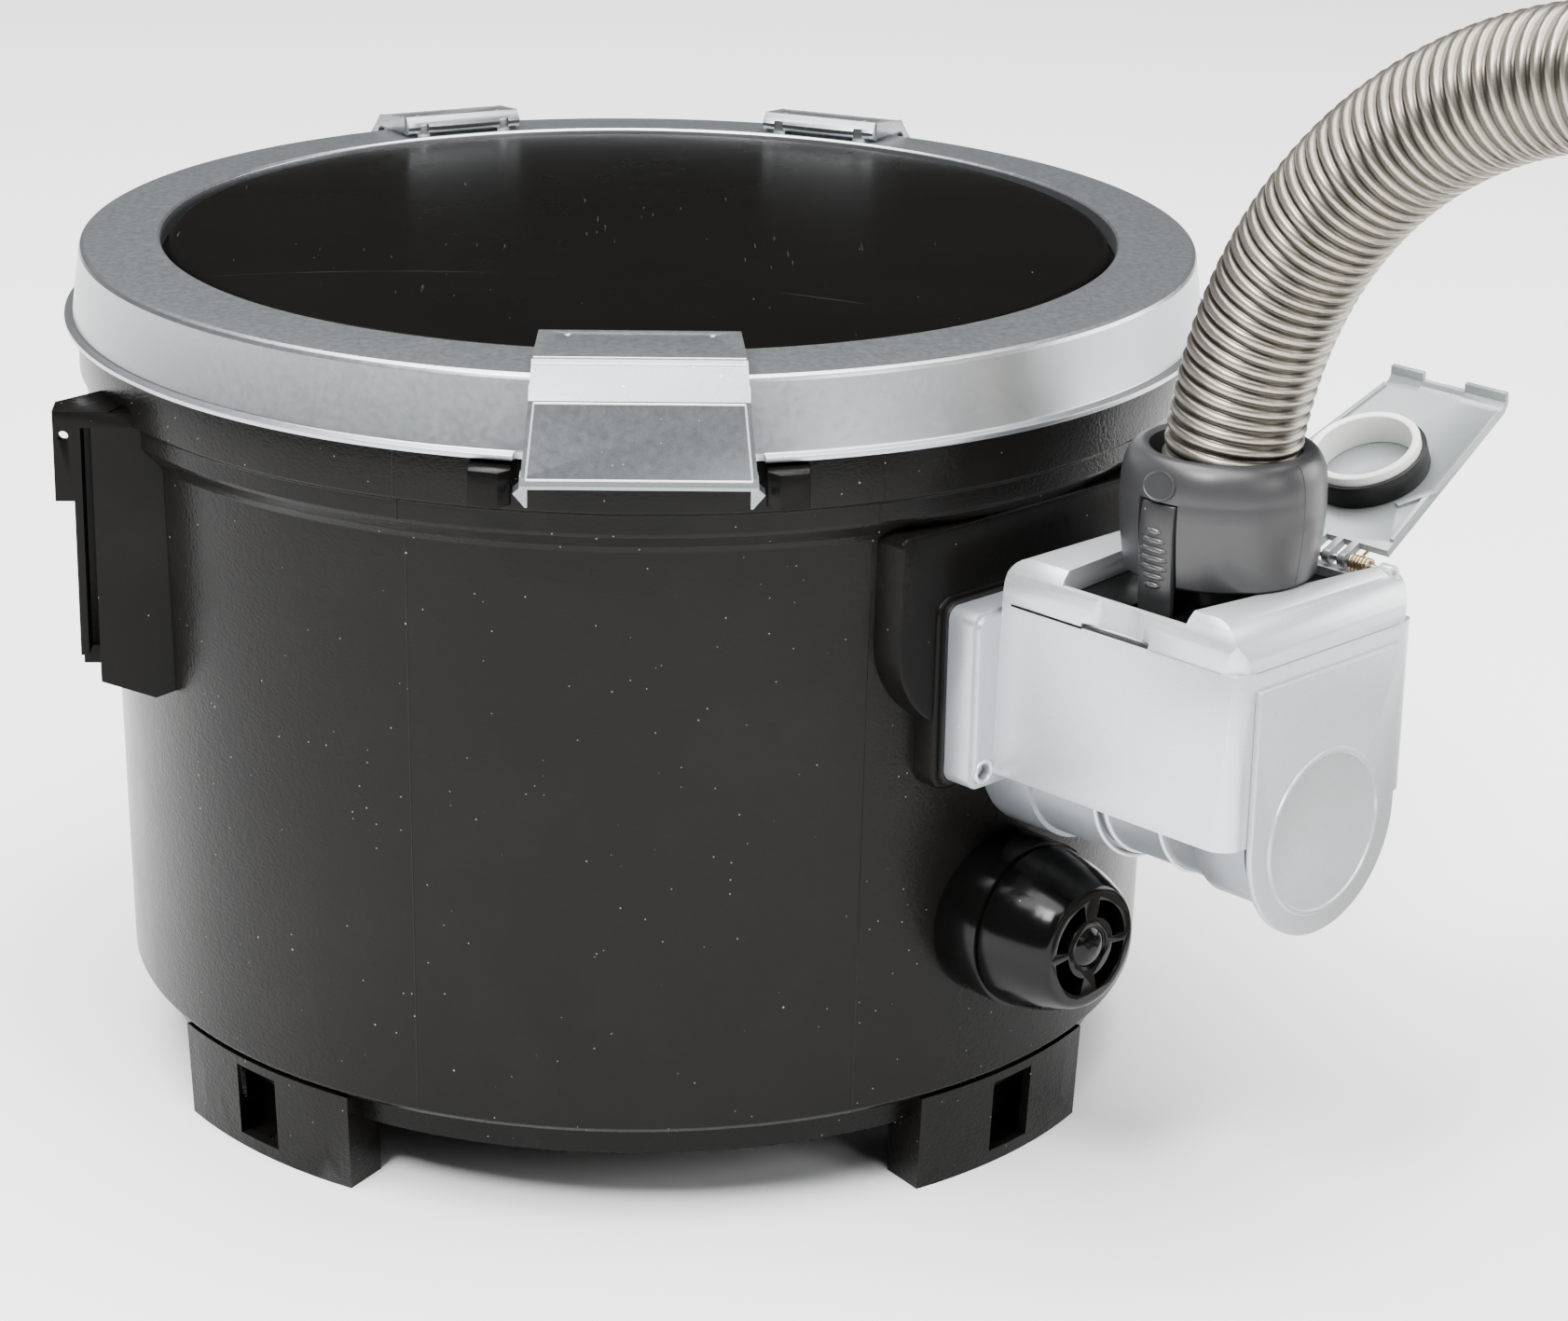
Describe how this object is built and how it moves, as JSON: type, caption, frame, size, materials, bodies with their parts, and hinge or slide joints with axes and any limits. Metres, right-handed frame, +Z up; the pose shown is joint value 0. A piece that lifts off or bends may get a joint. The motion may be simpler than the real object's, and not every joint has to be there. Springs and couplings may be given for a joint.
{
  "type": "pool cleaner",
  "caption": "Round suction canister with clamped lid, three hinged latches, side inlet box with flap, relief valve and a plugged-in ribbed hose.",
  "frame": {"origin": "on the floor under the drum's axis, at the centre of the circle of foot screws", "axes": "+Z up along the drum's axis, -Y towards the front latch, +X to the right of it; the inlet box points between -Y and +X"},
  "size_m": [0.9979, 0.6492, 0.3752],
  "materials": {
    "drum_plastic": "satin orange-peel paint",
    "base_plastic": "fine matt",
    "bracket_plastic": "fine matt",
    "screw_steel": "dull zinc",
    "lid_gloss": "glossy, dusty",
    "ring_silver": "metallic paint",
    "latch_silver": "metallic paint",
    "seal_rubber": "soft",
    "pin_steel": "drawn",
    "box_silver": "silver, satin",
    "pipe_plastic": "moulded",
    "plate_silver": "metallic paint",
    "pipe_silver": "metallic paint",
    "insert_plastic": "moulded",
    "contact_brass": "bright",
    "flap_silver": "silver, satin",
    "seal_white": "smooth",
    "spring_brass": "drawn wire",
    "cuff_grey": "satin grey",
    "button_grey": "satin dark grey",
    "hose_champagne": "pearl",
    "strap_black": "woven",
    "valve_black": "moulded",
    "poppet_red": "moulded",
    "spring_steel": "drawn wire",
    "cage_plastic": "moulded",
    "foam_grey": "open-cell foam"
  },
  "bodies": {
    "canister": {"drum_shell": "drum_plastic", "base_ring": "base_plastic", "base_screws": "screw_steel", "hang_bracket_left": "bracket_plastic", "hang_bracket_right": "bracket_plastic", "inlet_gasket": "seal_rubber", "inlet_base": "box_silver", "inlet_screws": "screw_steel", "inlet_pipe": "pipe_silver", "inlet_deflector": "pipe_plastic", "inlet_housing": "box_silver", "inlet_cap": "box_silver", "front_plate": "plate_silver", "insert_plate": "insert_plastic", "contact_pins": "contact_brass", "flap_pin": "pin_steel", "flap_spring": "spring_brass", "hose_nozzle": "cuff_grey", "hose_cuff": "cuff_grey", "hose_run": "hose_champagne", "hose_coil": "hose_champagne", "hose_end_cuff": "cuff_grey", "hose_ties": "strap_black", "valve_seat": "valve_black", "valve_spring": "spring_steel", "outlet_spigot": "pipe_plastic", "outlet_nut": "valve_black", "filter_cage": "cage_plastic", "filter_sleeve": "foam_grey"},
    "lid": {"lid_panel": "lid_gloss", "clamp_ring": "ring_silver", "lid_seal": "seal_rubber", "latch_pins": "pin_steel"},
    "front_latch": {"latch_front": "latch_silver"},
    "back_left_latch": {"latch_back_left": "latch_silver"},
    "back_right_latch": {"latch_back_right": "latch_silver"},
    "flap": {"flap_lid": "flap_silver", "flap_seal_ring": "seal_white", "flap_seal_boot": "seal_rubber"},
    "hose_release": {"release_button": "button_grey"},
    "valve_knob": {"valve_cap": "valve_black"},
    "valve_poppet": {"valve_plunger": "poppet_red"}
  },
  "joints": [
    {"name": "lid_lift", "type": "slide", "parent": "canister", "child": "lid", "axis": [0, 0, 1], "range_m": [0, 0.06]},
    {"name": "front_latch_hinge", "type": "hinge", "parent": "lid", "child": "front_latch", "pos_m": [0, -0.1496, 0.2624], "axis": [-1, 0, 0], "range_deg": [0, 75]},
    {"name": "back_left_latch_hinge", "type": "hinge", "parent": "lid", "child": "back_left_latch", "pos_m": [-0.06085, 0.13667, 0.2624], "axis": [0.9135, 0.4067, 0], "range_deg": [0, 75]},
    {"name": "back_right_latch_hinge", "type": "hinge", "parent": "lid", "child": "back_right_latch", "pos_m": [0.06085, 0.13667, 0.2624], "axis": [0.9135, -0.4067, 0], "range_deg": [0, 75]},
    {"name": "flap_hinge", "type": "hinge", "parent": "canister", "child": "flap", "pos_m": [0.18469, -0.13051, 0.2], "axis": [0.6756, -0.7373, 0], "range_deg": [0, 42]},
    {"name": "hose_release_press", "type": "slide", "parent": "canister", "child": "hose_release", "axis": [0.7373, 0.6756, 0], "range_m": [0, 0.0013], "stiffness_N_per_m": 1500, "springref_m": -0.0005},
    {"name": "valve_knob_turn", "type": "hinge", "parent": "canister", "child": "valve_knob", "pos_m": [0.12137, -0.13962, 0.0845], "axis": [0.6561, -0.7547, 0], "range_deg": [0, 60]},
    {"name": "valve_poppet_lift", "type": "slide", "parent": "canister", "child": "valve_poppet", "axis": [0.6561, -0.7547, 0], "range_m": [0, 0.008], "stiffness_N_per_m": 400, "springref_m": -0.004}
  ]
}
